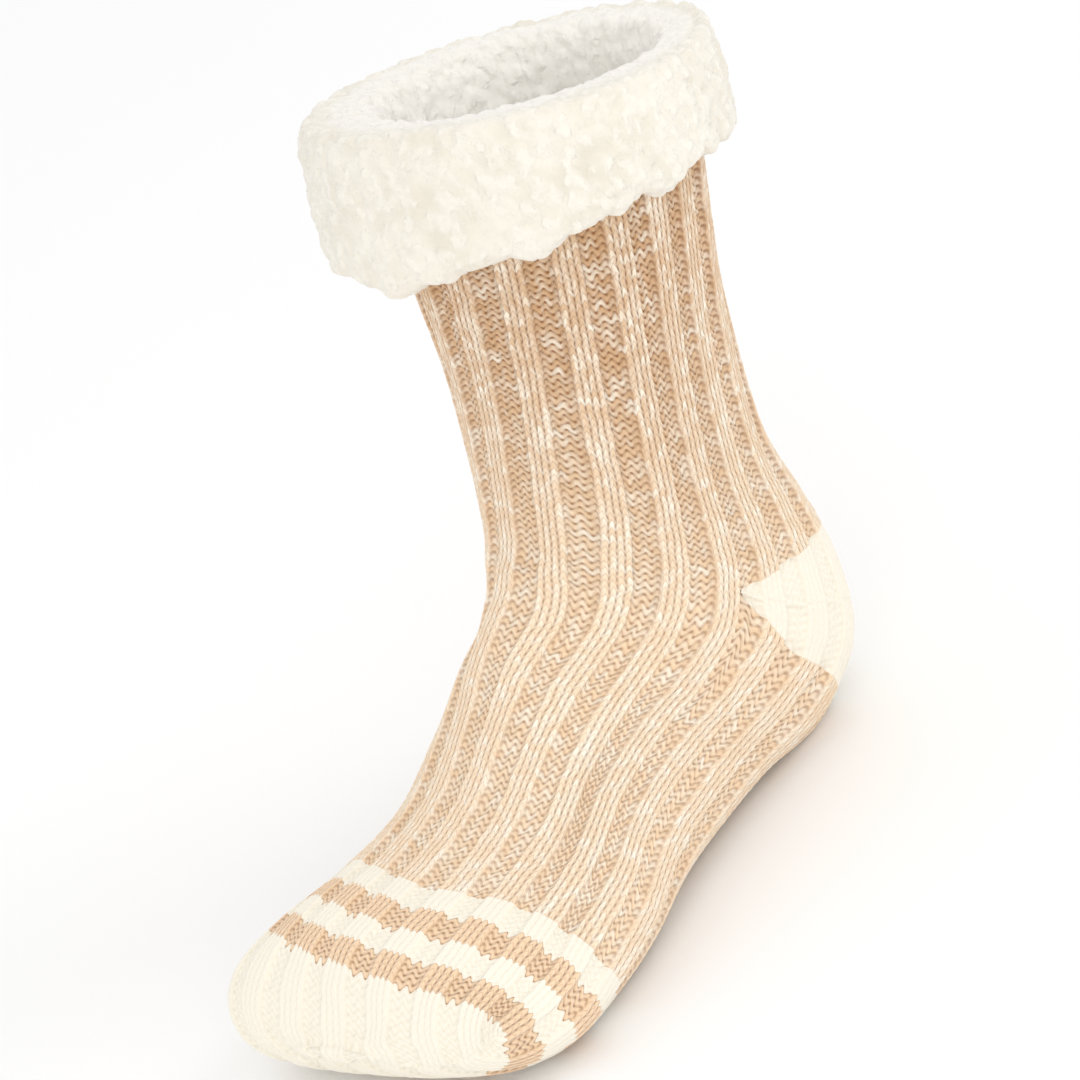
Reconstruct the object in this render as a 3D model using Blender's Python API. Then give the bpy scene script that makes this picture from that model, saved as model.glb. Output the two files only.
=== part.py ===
"""Slipper sock: one knitted tube with heel pocket and closed toe, and a turned-down pile cuff.

Frame: metres, +X to the toe, +Y the wearer's left, +Z up, floor at Z = 0.
The origin is the middle of the heel's flat resting face.
"""
import bpy
import numpy as np

# Driving sizes in metres
FOOT_LENGTH = 0.235
BALL_WIDTH = 0.101
INSTEP_HEIGHT = 0.100
LEG_DEPTH = 0.094
LEG_LENGTH = 0.126
HEEL_REST_X = 0.0425
ANKLE_X = 0.0509
ANKLE_Z = 0.1095
LEG_LEAN = np.radians(11.4)
ANKLE_HEIGHT_SHARE = 0.06
OVAL_POWER = 2.0
TOP_SQUARING = 0.15
SOLE_SQUARING = 1.5

KNIT_WALL = 0.0026
RIB_COUNT = 17
RIB_RELIEF = 0.0010
RIB_FADE = 0.0015
TOE_FADE = 0.030
CLEARANCE = 0.0003
FACET_ALLOWANCE = 0.00028

CUFF_DROP_FRONT = 0.0385
CUFF_DROP_BACK = 0.0300
CUFF_SIDE_LIFT = 0.0072
CUFF_PILE_FRONT = 0.0236
CUFF_PILE_BACK = 0.0110
CUFF_INNER_PILE = 0.0035
CUFF_INNER_DROP = 0.036
CUFF_TOP = 0.0066
CUFF_LUMP = 0.0011
PILE_TAPER = 1.5

# Curls of the pile as waves: share of CUFF_LUMP, turns round the leg and waves down a metre of drop
CURLS = np.array([
    # share turns  waves
    [0.60, 5.0, 24.0],
    [0.60, 9.0, -27.0],
    [0.36, 13.0, -33.4],
])

# Mesh density, and the steps in rows and shares over which a normal is taken
STATIONS = 43
INNER_STEP = 2
SECTION_SAMPLES = 240
CUFF_STATIONS = 61
ROW_STEP = 0.02
SHARE_STEP = 0.004

# Share of one rib pitch at each corner of the rib and of the groove beside it
RIB_CORNERS = np.array([0.03, 0.455, 0.53, 0.955])
RIB_DEPTHS = np.array([0.0, 0.0, 1.0, 1.0])

# Leg sections from the rim down: height along the leg as a share of LEG_LENGTH,
# half depth as a share of LEG_DEPTH, half width as a share of LEG_DEPTH
LEG = np.array([
    # height  depth  width
    [0.950, 0.528, 0.512],
    [0.750, 0.540, 0.497],
    [0.540, 0.518, 0.462],
    [0.300, 0.494, 0.432],
])

# Foot sections from ankle to toe. X as shares of FOOT_LENGTH, Z of INSTEP_HEIGHT, half width,
# side shift and crown shift of BALL_WIDTH, squareness of the sole half from 0 to 1, and slant:
# how far the outer side lies behind the middle, as a share of FOOT_LENGTH
FOOT = np.array([
    # top_x  top_z  sole_x  sole_z  half   shift  crown square slant
    [0.424, 1.156, 0.012, 0.960, 0.386, 0.000, 0.00, 0.00, 0.000],
    [0.451, 1.059, -0.009, 0.680, 0.376, 0.000, 0.00, 0.05, 0.000],
    [0.470, 1.000, -0.021, 0.400, 0.366, 0.000, 0.00, 0.20, 0.000],
    [0.490, 0.957, 0.014, 0.125, 0.357, 0.000, 0.01, 0.40, 0.000],
    [0.509, 0.923, 0.133, -0.013, 0.332, 0.002, 0.02, 0.60, 0.000],
    [0.547, 0.858, 0.290, 0.012, 0.348, 0.010, 0.03, 0.80, 0.000],
    [0.599, 0.736, 0.480, 0.020, 0.394, 0.037, 0.05, 1.00, 0.002],
    [0.680, 0.602, 0.630, 0.002, 0.473, 0.070, 0.06, 1.00, 0.006],
    [0.765, 0.548, 0.748, -0.012, 0.536, 0.064, 0.06, 1.00, 0.016],
    [0.847, 0.532, 0.843, -0.012, 0.588, 0.046, 0.05, 1.00, 0.024],
    [0.912, 0.490, 0.914, 0.016, 0.588, 0.010, 0.04, 0.90, 0.028],
    [0.955, 0.410, 0.952, 0.052, 0.516, -0.020, 0.02, 0.70, 0.028],
    [0.980, 0.308, 0.976, 0.104, 0.392, -0.042, 0.00, 0.40, 0.018],
    [0.989, 0.234, 0.986, 0.160, 0.175, -0.062, 0.00, 0.10, 0.006],
])

# Cuff profile around its pile. Offset: base term in metres plus a share of the outer pile;
# drop: base term in metres plus a share of the outer drop; lump: share of the curl height
GROOVE = CLEARANCE + FACET_ALLOWANCE
INNER_FACE = -(KNIT_WALL + GROOVE)
LINING_FACE = INNER_FACE - CUFF_INNER_PILE
CUFF = np.array([
    # offset   pile  drop                        drop_share lump
    [0.5 * (INNER_FACE + LINING_FACE), 0.00, CUFF_INNER_DROP, 0.00, 0.0],
    [LINING_FACE, 0.00, CUFF_INNER_DROP - 0.003, 0.00, 0.3],
    [LINING_FACE - 0.0006, 0.00, CUFF_INNER_DROP - 0.016, 0.00, 0.5],
    [LINING_FACE - 0.0004, 0.00, 0.004, 0.00, 0.5],
    [LINING_FACE + 0.0018, 0.00, -0.004, 0.00, 0.6],
    [-0.0010, 0.05, -0.92 * CUFF_TOP, 0.00, 0.8],
    [0.0012, 0.36, -CUFF_TOP, 0.00, 0.8],
    [0.0012, 0.70, -0.95 * CUFF_TOP, 0.00, 1.0],
    [0.0012, 0.82, 0.0000, 0.01, 1.0],
    [0.0012, 0.84, 0.0000, 0.20, 1.0],
    [0.0012, 0.85, 0.0000, 0.40, 1.0],
    [0.0012, 0.85, 0.0000, 0.60, 1.0],
    [0.0012, 0.86, 0.0000, 0.78, 1.0],
    [0.0008, 0.83, 0.0000, 0.92, 0.9],
    [0.0004, 0.62, 0.0000, 1.00, 0.7],
    [0.0004, 0.20, 0.0000, 1.00, 0.4],
    [GROOVE, 0.00, 0.0000, 0.93, 0.0],
    [GROOVE, 0.00, 0.0000, 0.50, 0.0],
    [GROOVE, 0.00, -CLEARANCE, 0.00, 0.0],
    [INNER_FACE, 0.00, -CLEARANCE, 0.00, 0.0],
    [INNER_FACE, 0.00, CUFF_INNER_DROP - 0.002, 0.00, 0.0],
])

KNIT_COLOUR = (0.775, 0.558, 0.371, 1.0)
CUFF_COLOUR = (0.921, 0.871, 0.761, 1.0)


def heights_down_the_leg():
    """Leg heights as a one-column table, so that depth below the rim can be read along the leg."""
    return np.vstack([LEG[:, 0:1], [[ANKLE_HEIGHT_SHARE]]])


def section_table():
    """Rows of top point, sole point, half width, shifts, squareness and slant for the whole sock."""
    up = np.array([-np.sin(LEG_LEAN), np.cos(LEG_LEAN)])
    front = np.array([np.cos(LEG_LEAN), np.sin(LEG_LEAN)])
    ankle = np.array([ANKLE_X, ANKLE_Z])
    centre = ankle + LEG[:, 0:1] * LEG_LENGTH * up
    reach = LEG[:, 1:2] * LEG_DEPTH * front
    half = LEG[:, 2:3] * LEG_DEPTH
    leg = np.hstack([centre + reach, centre - reach, half, np.zeros((len(LEG), 4))])
    scale = np.array([FOOT_LENGTH, INSTEP_HEIGHT, FOOT_LENGTH, INSTEP_HEIGHT,
                      BALL_WIDTH, BALL_WIDTH, BALL_WIDTH, 1.0, FOOT_LENGTH])
    return np.vstack([leg, FOOT * scale])


def spline(rows, stations):
    """Smooth curve through the rows, sampled at fractional row numbers."""
    padded = np.vstack([2 * rows[0] - rows[1], rows, 2 * rows[-1] - rows[-2]])
    index = np.clip(stations.astype(int), 0, len(rows) - 2)
    t = (stations - index)[:, None]
    a, b, c, d = (padded[index + k] for k in range(4))
    return 0.5 * (2 * b + (c - a) * t + (2 * a - 5 * b + 4 * c - d) * t ** 2
                  + (3 * b - a - 3 * c + d) * t ** 3)


def smooth_tube(stations, shares):
    """Points of the smooth sock surface: one section per station, spaced by arc from the top line."""
    values = spline(section_table(), stations)
    columns = [values[:, k:k + 1] for k in range(values.shape[1])]
    top_x, top_z, sole_x, sole_z, half, shift, crown, square, slant = columns
    angle = np.linspace(0.0, 2.0 * np.pi, SECTION_SAMPLES + 1)[None, :]
    cosine = np.cos(angle)
    sine = np.sin(angle)
    squaring = np.where(cosine > 0, TOP_SQUARING, SOLE_SQUARING)
    power = OVAL_POWER + squaring * square
    radius = (np.abs(cosine) ** power + np.abs(sine) ** power) ** (-1.0 / power)
    along = cosine * radius
    across = sine * radius
    x = 0.5 * (top_x + sole_x) + 0.5 * (top_x - sole_x) * along - slant * across - HEEL_REST_X
    z = 0.5 * (top_z + sole_z) + 0.5 * (top_z - sole_z) * along
    y = half * across + shift - crown * np.clip(along, 0.0, 1.0)
    dense = np.stack([x, y, np.maximum(z, 0.0)], axis=-1)
    step = np.linalg.norm(np.diff(dense, axis=1), axis=-1)
    arc = np.hstack([np.zeros((len(values), 1)), np.cumsum(step, axis=1)])
    result = np.empty((len(values), len(shares), 3))
    for row in range(len(values)):
        for axis in range(3):
            result[row, :, axis] = np.interp(shares * arc[row, -1], arc[row], dense[row, :, axis])
    return result


def tube_normals(stations, shares):
    """Unit outward normals of the smooth sock surface, by central differences."""
    above = np.clip(stations - ROW_STEP, 0.0, None)
    along = smooth_tube(stations + ROW_STEP, shares) - smooth_tube(above, shares)
    either_side = np.concatenate([shares - SHARE_STEP, shares + SHARE_STEP])
    wrapped = smooth_tube(stations, np.mod(either_side, 1.0))
    around = wrapped[:, len(shares):] - wrapped[:, :len(shares)]
    normal = np.cross(along, around)
    return normal / np.maximum(np.linalg.norm(normal, axis=-1, keepdims=True), 1e-12)


def closed_mesh(name, points, faces, colour, roughness):
    """One closed body with its own material, faces outward, round faces smooth."""
    mesh = bpy.data.meshes.new(name)
    mesh.from_pydata([tuple(p) for p in points], [], faces)
    mesh.validate()
    mesh.update()
    body = bpy.data.objects.new(name, mesh)
    bpy.context.collection.objects.link(body)
    material = bpy.data.materials.new(name + "_material")
    material.use_nodes = True
    shader = material.node_tree.nodes["Principled BSDF"]
    shader.inputs["Base Color"].default_value = colour
    shader.inputs["Roughness"].default_value = roughness
    shader.inputs["Metallic"].default_value = 0.0
    material.diffuse_color = colour
    mesh.materials.append(material)
    mesh.shade_smooth()
    return body


def ring_faces(first, second, count):
    """Triangles between two rings of the same count, given the index of each ring's first point."""
    faces = []
    for k in range(count):
        n = (k + 1) % count
        faces.append((first + k, second + k, second + n))
        faces.append((first + k, second + n, first + n))
    return faces


def knit_upper():
    """Ribbed knitted tube, open at the rim and closed at the toe, hollow throughout."""
    last = len(LEG) + len(FOOT) - 1
    stations = np.linspace(0.0, last, STATIONS)
    shares = ((np.arange(RIB_COUNT)[:, None] + RIB_CORNERS[None, :]) / RIB_COUNT).ravel()
    depth = np.tile(RIB_DEPTHS, RIB_COUNT) * RIB_RELIEF
    count = len(shares)
    skin = smooth_tube(stations, shares)
    normal = tube_normals(stations, shares)
    off_floor = np.clip(skin[..., 2:3] / RIB_FADE, 0.0, 1.0)
    off_toe = np.clip((skin[..., 0].max() - skin[..., 0:1]) / TOE_FADE, 0.0, 1.0)
    outer = skin - normal * depth[None, :, None] * off_floor * off_toe
    outer[..., 2] = np.maximum(outer[..., 2], 0.0)
    keep = np.arange(0, STATIONS - 2, INNER_STEP)
    inner = (skin - normal * KNIT_WALL)[keep]
    toe_out = outer[-1].mean(axis=0) + np.array([CLEARANCE, 0.0, 0.0])
    toe_in = inner[-1].mean(axis=0) + np.array([KNIT_WALL, 0.0, 0.0])
    points = np.vstack([outer.reshape(-1, 3), inner.reshape(-1, 3), toe_out, toe_in])
    base = STATIONS * count
    faces = []
    for s in range(STATIONS - 1):
        faces += ring_faces(s * count, (s + 1) * count, count)
    for s in range(len(keep) - 1):
        faces += [f[::-1] for f in ring_faces(base + s * count, base + (s + 1) * count, count)]
    faces += ring_faces(base, 0, count)
    tip = len(points) - 2
    for k in range(count):
        n = (k + 1) % count
        faces.append(((STATIONS - 1) * count + k, tip, (STATIONS - 1) * count + n))
        end = base + (len(keep) - 1) * count
        faces.append((end + k, end + n, tip + 1))
    return closed_mesh("knit_upper", points, faces, KNIT_COLOUR, 0.95)


def sherpa_cuff():
    """Turned-down pile cuff: lining inside the rim, soft fold over it and a deep outer turn-down."""
    shares = ((np.arange(RIB_COUNT)[:, None] + RIB_CORNERS[None, :]) / RIB_COUNT).ravel()
    count = len(shares)
    turn = 2.0 * np.pi * shares
    front = 0.5 + 0.5 * np.cos(turn)
    drop = (CUFF_DROP_BACK + (CUFF_DROP_FRONT - CUFF_DROP_BACK) * front
            - CUFF_SIDE_LIFT * np.abs(np.sin(turn)))
    pile = CUFF_PILE_BACK + (CUFF_PILE_FRONT - CUFF_PILE_BACK) * front ** PILE_TAPER
    axis = np.array([-np.sin(LEG_LEAN), 0.0, np.cos(LEG_LEAN)])
    fine = np.linspace(0.0, len(LEG) - 1.0, CUFF_STATIONS)
    skin = smooth_tube(fine, shares)
    normal = tube_normals(fine, shares)
    height = (LEG[0, 0] - spline(heights_down_the_leg(), fine)[:, 0]) * LEG_LENGTH
    rings = []
    for offset, pile_share, base_drop, drop_share, lump in CUFF:
        reach = offset + pile_share * pile
        down = base_drop + drop_share * drop
        curl = sum(share * np.sin(turns * turn + 2.0 * np.pi * waves * down)
                   for share, turns, waves in CURLS)
        reach = reach + lump * CUFF_LUMP * curl
        ring = np.empty((count, 3))
        for k in range(count):
            level = max(down[k], 0.0)
            where = [np.interp(level, height, skin[:, k, a]) for a in range(3)]
            way = np.array([np.interp(level, height, normal[:, k, a]) for a in range(3)])
            above = min(down[k], 0.0)
            ring[k] = np.array(where) + way * reach[k] - axis * above
        rings.append(ring)
    points = np.vstack(rings)
    faces = []
    for s in range(len(rings)):
        n = (s + 1) % len(rings)
        faces += ring_faces(s * count, n * count, count)
    return closed_mesh("sherpa_cuff", points, faces, CUFF_COLOUR, 1.0)


for item in list(bpy.data.objects):
    bpy.data.objects.remove(item, do_unlink=True)

knit_upper()
sherpa_cuff()
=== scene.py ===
"""Looks of the slipper sock: flecked rib knit, a plain heel, a striped toe and a curly pile cuff."""

import bpy
import numpy as np
from mathutils import Matrix, Vector


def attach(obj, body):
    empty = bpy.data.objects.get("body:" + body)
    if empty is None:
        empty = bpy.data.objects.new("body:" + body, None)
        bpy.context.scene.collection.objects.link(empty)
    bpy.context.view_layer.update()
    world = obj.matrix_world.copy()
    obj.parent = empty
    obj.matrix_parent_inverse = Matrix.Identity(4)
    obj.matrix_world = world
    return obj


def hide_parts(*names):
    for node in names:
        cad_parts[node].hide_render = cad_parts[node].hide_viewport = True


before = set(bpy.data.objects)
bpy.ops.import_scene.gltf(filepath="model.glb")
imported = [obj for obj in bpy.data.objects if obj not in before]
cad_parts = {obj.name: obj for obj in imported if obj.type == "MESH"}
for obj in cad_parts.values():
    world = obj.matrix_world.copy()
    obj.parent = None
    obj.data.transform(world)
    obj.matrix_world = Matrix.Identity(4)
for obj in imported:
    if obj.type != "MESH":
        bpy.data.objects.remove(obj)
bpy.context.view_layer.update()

# Knitted leg and foot. One tube of flecked tan and cream yarn, knitted in seventeen ribs of four
# plain and two wide purl wales. It runs from the rim under the cuff, round the heel, to the striped toe.
FOOT_LENGTH = 0.235
BALL_WIDTH = 0.101
INSTEP_HEIGHT = 0.100
LEG_DEPTH = 0.094
LEG_LENGTH = 0.126
HEEL_REST_X = 0.0425
ANKLE_X = 0.0509
ANKLE_Z = 0.1095
LEG_LEAN = np.radians(11.4)
KNIT_WALL = 0.0026

RIB_COUNT = 17
WALES_IN_RIB = 6
WALES = RIB_COUNT * WALES_IN_RIB
COURSE_PITCH = 0.0028
RIB_DEPTH = 0.0020
PLAIN_RELIEF = 0.00042
PURL_RELIEF = 0.00065
SEAM_DEPTH = 0.0009
LOOSE_WALE = 0.14
LOOSE_COURSE = 0.15
RIB_START = 0.25
RIB_MIDDLE = 1.5
PLAIN_TO_PURL = (1.85, 2.15)
LEG_CREST = 0.24
LEG_EDGE = 0.36
LEG_DIP = 0.15
LEG_SLANT = 1.5
LEG_SWELL = 0.45
PURL_WAVE = 0.35
FLOOR_FADE = 0.0015
WALE_STEPS = (6, 6, 6, 5, 6, 5)
COURSE_STEPS = 4

# Leg sections from the rim down: height as a share of LEG_LENGTH, half depth and half width of LEG_DEPTH
LEG = np.array([
    # height  depth  width
    [0.950, 0.528, 0.512],
    [0.750, 0.540, 0.497],
    [0.540, 0.518, 0.462],
    [0.300, 0.494, 0.432],
])

# Foot sections from ankle to toe. X as shares of FOOT_LENGTH, Z of INSTEP_HEIGHT, half width,
# side shift and crown shift of BALL_WIDTH, squareness of the sole half, slant of the section
FOOT = np.array([
    # top_x  top_z  sole_x  sole_z  half   shift  crown square slant
    [0.424, 1.156, 0.012, 0.960, 0.386, 0.000, 0.00, 0.00, 0.000],
    [0.451, 1.059, -0.009, 0.680, 0.376, 0.000, 0.00, 0.05, 0.000],
    [0.470, 1.000, -0.021, 0.400, 0.366, 0.000, 0.00, 0.20, 0.000],
    [0.490, 0.957, 0.014, 0.125, 0.357, 0.000, 0.01, 0.40, 0.000],
    [0.509, 0.923, 0.133, -0.013, 0.332, 0.002, 0.02, 0.60, 0.000],
    [0.547, 0.858, 0.290, 0.012, 0.348, 0.010, 0.03, 0.80, 0.000],
    [0.599, 0.736, 0.480, 0.020, 0.394, 0.037, 0.05, 1.00, 0.002],
    [0.680, 0.602, 0.630, 0.002, 0.473, 0.070, 0.06, 1.00, 0.006],
    [0.765, 0.548, 0.748, -0.012, 0.536, 0.064, 0.06, 1.00, 0.016],
    [0.847, 0.532, 0.843, -0.012, 0.588, 0.046, 0.05, 1.00, 0.024],
    [0.912, 0.490, 0.914, 0.016, 0.588, 0.010, 0.04, 0.90, 0.028],
    [0.955, 0.410, 0.952, 0.052, 0.516, -0.020, 0.02, 0.70, 0.028],
    [0.980, 0.308, 0.976, 0.104, 0.392, -0.042, 0.00, 0.40, 0.018],
    [0.989, 0.234, 0.986, 0.160, 0.175, -0.062, 0.00, 0.10, 0.006],
])

# Where the flecked yarn ends and where the toe cap starts, as section numbers at shares of the
# way round from the top line towards the outer side
EDGES = np.array([
    # share  flecked_end  cap_start
    [-0.50, 12.05, 14.40],
    [-0.25, 11.90, 13.35],
    [-0.16, 11.85, 13.30],
    [-0.10, 12.00, 13.85],
    [-0.05, 12.25, 14.28],
    [0.02, 12.55, 14.60],
    [0.07, 12.62, 14.78],
    [0.13, 12.48, 14.83],
    [0.17, 12.40, 14.80],
    [0.22, 12.36, 14.70],
    [0.26, 12.25, 14.76],
    [0.33, 12.00, 14.80],
    [0.42, 12.00, 14.60],
])

# Drift of the ribs to the front, as a share of the way round, at zones down the sock: 0 to 1 is the
# leg, 1 to 2 the flecked foot, 2 to 3 the stripes; one column for the inner side and one for each
# rib on the outer side. DRIFT_RIBS tells which rib each of DRIFT_COLUMNS belongs to
DRIFT = np.array([
    # zone  inner   rib_1   rib_2   rib_3   rib_4   rib_5
    [0.00, 0.008, 0.010, 0.010, 0.009, 0.004, 0.000],
    [0.28, 0.005, 0.009, 0.009, 0.008, 0.002, -0.008],
    [0.60, -0.010, -0.008, -0.004, -0.002, -0.012, -0.022],
    [0.85, -0.018, -0.020, -0.006, -0.006, -0.012, -0.021],
    [1.00, -0.026, -0.026, -0.030, -0.035, -0.030, -0.030],
    [1.12, -0.030, -0.029, -0.036, -0.042, -0.042, -0.042],
    [1.30, -0.035, -0.032, -0.034, -0.038, -0.043, -0.042],
    [1.50, -0.045, -0.048, -0.040, -0.041, -0.053, -0.058],
    [1.70, -0.055, -0.062, -0.055, -0.049, -0.063, -0.070],
    [2.00, -0.060, -0.062, -0.054, -0.057, -0.062, -0.076],
    [2.40, -0.062, -0.065, -0.059, -0.056, -0.059, -0.070],
    [3.00, -0.062, -0.072, -0.059, -0.044, -0.045, -0.060],
])
DRIFT_RIBS = np.array([-3.0, 1.0, 2.0, 3.0, 4.0, 5.0, 8.0])
DRIFT_COLUMNS = (1, 2, 3, 4, 5, 6, 1)
DRIFT_BLUR = 0.09

# Place of each wale in its rib, as a share of one rib's spacing from the middle of the plain wales.
# The plain wales spread on the foot, from RIBS_SPREAD on
WALE_PLACES = np.array([
    # wale  on_leg  on_foot
    [0.0, -0.189, -0.208],
    [0.5, -0.124, -0.137],
    [1.5, 0.000, 0.000],
    [2.5, 0.124, 0.137],
    [3.5, 0.258, 0.285],
    [5.5, 0.742, 0.715],
    [6.0, 0.811, 0.792],
])
RIBS_SPREAD = 0.9

# How much of the stitches' height shows at zones down the sock; the toe is knitted tighter and flatter
STITCHES_SHOW = np.array([
    # zone  share
    [1.00, 1.00],
    [1.30, 0.85],
    [1.90, 0.78],
    [2.15, 0.58],
    [3.00, 0.52],
])

HEEL_FROM_RIM = 0.1635
HEEL_TIP = 0.238
FRONT_GATHER = 0.027

# How much nearer the toe the heel pocket's lower edge lies than at its tips, by share of the way round
HEEL_DIP = np.array([
    # share  metres
    [0.30, 0.000],
    [0.37, 0.0035],
    [0.42, 0.0095],
    [0.46, 0.0145],
    [0.50, 0.0165],
])

LEG_COURSES = 65
FOOT_COURSES = 43
STRIPE_COURSES = 16
STATIONS = 341
AROUND = 720


def section_rows():
    """Rows of the whole sock in metres: the leg's, set along its leaning axis, and then the foot's."""
    up = np.array([-np.sin(LEG_LEAN), np.cos(LEG_LEAN)])
    front = np.array([np.cos(LEG_LEAN), np.sin(LEG_LEAN)])
    centre = np.array([ANKLE_X, ANKLE_Z]) + LEG[:, 0:1] * LEG_LENGTH * up
    reach = LEG[:, 1:2] * LEG_DEPTH * front
    half = LEG[:, 2:3] * LEG_DEPTH
    leg = np.hstack([centre + reach, centre - reach, half, np.zeros((len(LEG), 4))])
    scale = np.array([FOOT_LENGTH, INSTEP_HEIGHT, FOOT_LENGTH, INSTEP_HEIGHT,
                      BALL_WIDTH, BALL_WIDTH, BALL_WIDTH, 1.0, FOOT_LENGTH])
    return np.vstack([leg, FOOT * scale])


def through_rows(rows, numbers):
    """Smooth cubic curve through the rows, read at fractional row numbers."""
    padded = np.vstack([2 * rows[0] - rows[1], rows, 2 * rows[-1] - rows[-2]])
    at = np.clip(numbers.astype(int), 0, len(rows) - 2)
    t = (numbers - at)[:, None]
    a, b, c, d = (padded[at + k] for k in range(4))
    return 0.5 * (2 * b + (c - a) * t + (2 * a - 5 * b + 4 * c - d) * t ** 2
                  + (3 * b - a - 3 * c + d) * t ** 3)


def sock_skin():
    """Smooth sock surface in rows and columns: each section is a rounded oval, squarer on the sole
    side, read at even arc lengths from its top; the last rows close over the toe. Gives points, unit
    normals outwards and arc length down each column."""
    numbers = np.linspace(0.0, len(LEG) + len(FOOT) - 1, STATIONS)
    columns = through_rows(section_rows(), numbers).T[..., None]
    top_x, top_z, sole_x, sole_z, half, shift, crown, square, slant = columns
    angle = np.linspace(0.0, 2.0 * np.pi, AROUND + 1)[None, :]
    cosine, sine = np.cos(angle), np.sin(angle)
    power = np.where(cosine > 0, 2.0 + 0.15 * square, 2.0 + 1.5 * square)
    radius = (np.abs(cosine) ** power + np.abs(sine) ** power) ** (-1.0 / power)
    along, across = cosine * radius, sine * radius
    x = 0.5 * (top_x + sole_x) + 0.5 * (top_x - sole_x) * along - slant * across - HEEL_REST_X
    z = 0.5 * (top_z + sole_z) + 0.5 * (top_z - sole_z) * along
    y = half * across + shift - crown * np.clip(along, 0.0, 1.0)
    ring = np.stack([x, y, np.maximum(z, 0.0)], axis=-1)
    step = np.linalg.norm(np.diff(ring, axis=1), axis=-1)
    arc = np.hstack([np.zeros((STATIONS, 1)), np.cumsum(step, axis=1)])
    share = np.arange(AROUND) / AROUND
    skin = np.stack([np.stack([np.interp(share * arc[row, -1], arc[row], ring[row, :, axis])
                               for axis in range(3)], axis=-1) for row in range(STATIONS)])
    middle = skin[-1].mean(axis=0)
    turn = np.radians(np.linspace(12.0, 90.0, 8))[:, None, None]
    bulge = np.array([0.0025, 0.0, 0.0])
    skin = np.vstack([skin, middle + (skin[-1] - middle) * np.cos(turn) + bulge * np.sin(turn)])
    down = np.gradient(skin, axis=0)
    around = np.roll(skin, -1, axis=1) - np.roll(skin, 1, axis=1)
    normal = np.cross(down, around)
    normal[-1] = (1.0, 0.0, 0.0)
    normal /= np.maximum(np.linalg.norm(normal, axis=-1, keepdims=True), 1e-12)
    length = np.linalg.norm(np.diff(skin, axis=0), axis=-1)
    return skin, normal, np.vstack([np.zeros(AROUND), np.cumsum(length, axis=0)])


skin, skin_normal, skin_arc = sock_skin()
whole = skin_arc[-1]
stride = 1.5 * whole.max()
long_key = (skin_arc + np.arange(AROUND) * stride).T.ravel()
long_skin = np.concatenate([skin, skin_normal], axis=-1).transpose(1, 0, 2).reshape(-1, 6)


def on_skin(share, arc):
    """Points and outward normals of the skin at shares of the way round and arc lengths from the rim.
    All columns lie end to end on one long key, so that one interpolation reads them; the two columns
    beside each share are read and mixed."""
    column = np.mod(share, 1.0) * AROUND
    low = np.floor(column).astype(int)
    mix = (column - low)[..., None]
    sides = []
    for pick in (low % AROUND, (low + 1) % AROUND):
        ask = (np.clip(arc, 0.0, whole[pick]) + pick * stride).ravel()
        sides.append(np.stack([np.interp(ask, long_key, long_skin[:, k]) for k in range(6)],
                              axis=-1).reshape(arc.shape + (6,)))
    read = sides[0] * (1.0 - mix) + sides[1] * mix
    out = read[..., 3:] / np.maximum(np.linalg.norm(read[..., 3:], axis=-1, keepdims=True), 1e-9)
    return read[..., :3], out


def soft_step(t):
    """Zero to one with level ends."""
    t = np.clip(t, 0.0, 1.0)
    return t * t * (3.0 - 2.0 * t)


def arc_at_section(column):
    """Arc length where each column of the skin crosses an edge given by section numbers."""
    number = np.interp(every_share, EDGES[:, 0], EDGES[:, column], period=1.0)
    window = np.hanning(41)
    number = np.convolve(np.tile(number, 3), window / window.sum(), "same")[AROUND:2 * AROUND]
    row = number / (len(LEG) + len(FOOT) - 1) * (STATIONS - 1)
    low = np.clip(row.astype(int), 0, STATIONS - 2)
    place = np.arange(AROUND)
    return skin_arc[low, place] + (row - low) * (skin_arc[low + 1, place] - skin_arc[low, place])


every_share = np.mod(np.arange(AROUND) / AROUND + 0.5, 1.0) - 0.5
heel_from_toe = np.interp(HEEL_TIP, np.sort(every_share), whole[np.argsort(every_share)]) - HEEL_FROM_RIM
heel_from_toe = heel_from_toe - np.interp(np.abs(every_share), HEEL_DIP[:, 0], HEEL_DIP[:, 1])
rim = np.zeros(AROUND)
leg_end = HEEL_FROM_RIM - FRONT_GATHER * (1.0 - soft_step(np.abs(every_share) / HEEL_TIP))
foot_start = np.maximum(whole - heel_from_toe, leg_end)
flecked_end = arc_at_section(1)
cap_start = arc_at_section(2)


def edge_at(edge, share):
    """Arc length of an edge at any share of the way round."""
    return np.interp(share, np.arange(AROUND + 1) / AROUND, np.append(edge, edge[0]), period=1.0)


def wale_columns():
    """Wale coordinate of every mesh column, from the middle of the sole round to it again."""
    unit = np.concatenate([k + np.arange(n) / n for k, n in enumerate(WALE_STEPS)])
    return (np.arange(RIB_COUNT)[:, None] * WALES_IN_RIB + unit[None, :]).ravel()


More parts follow.
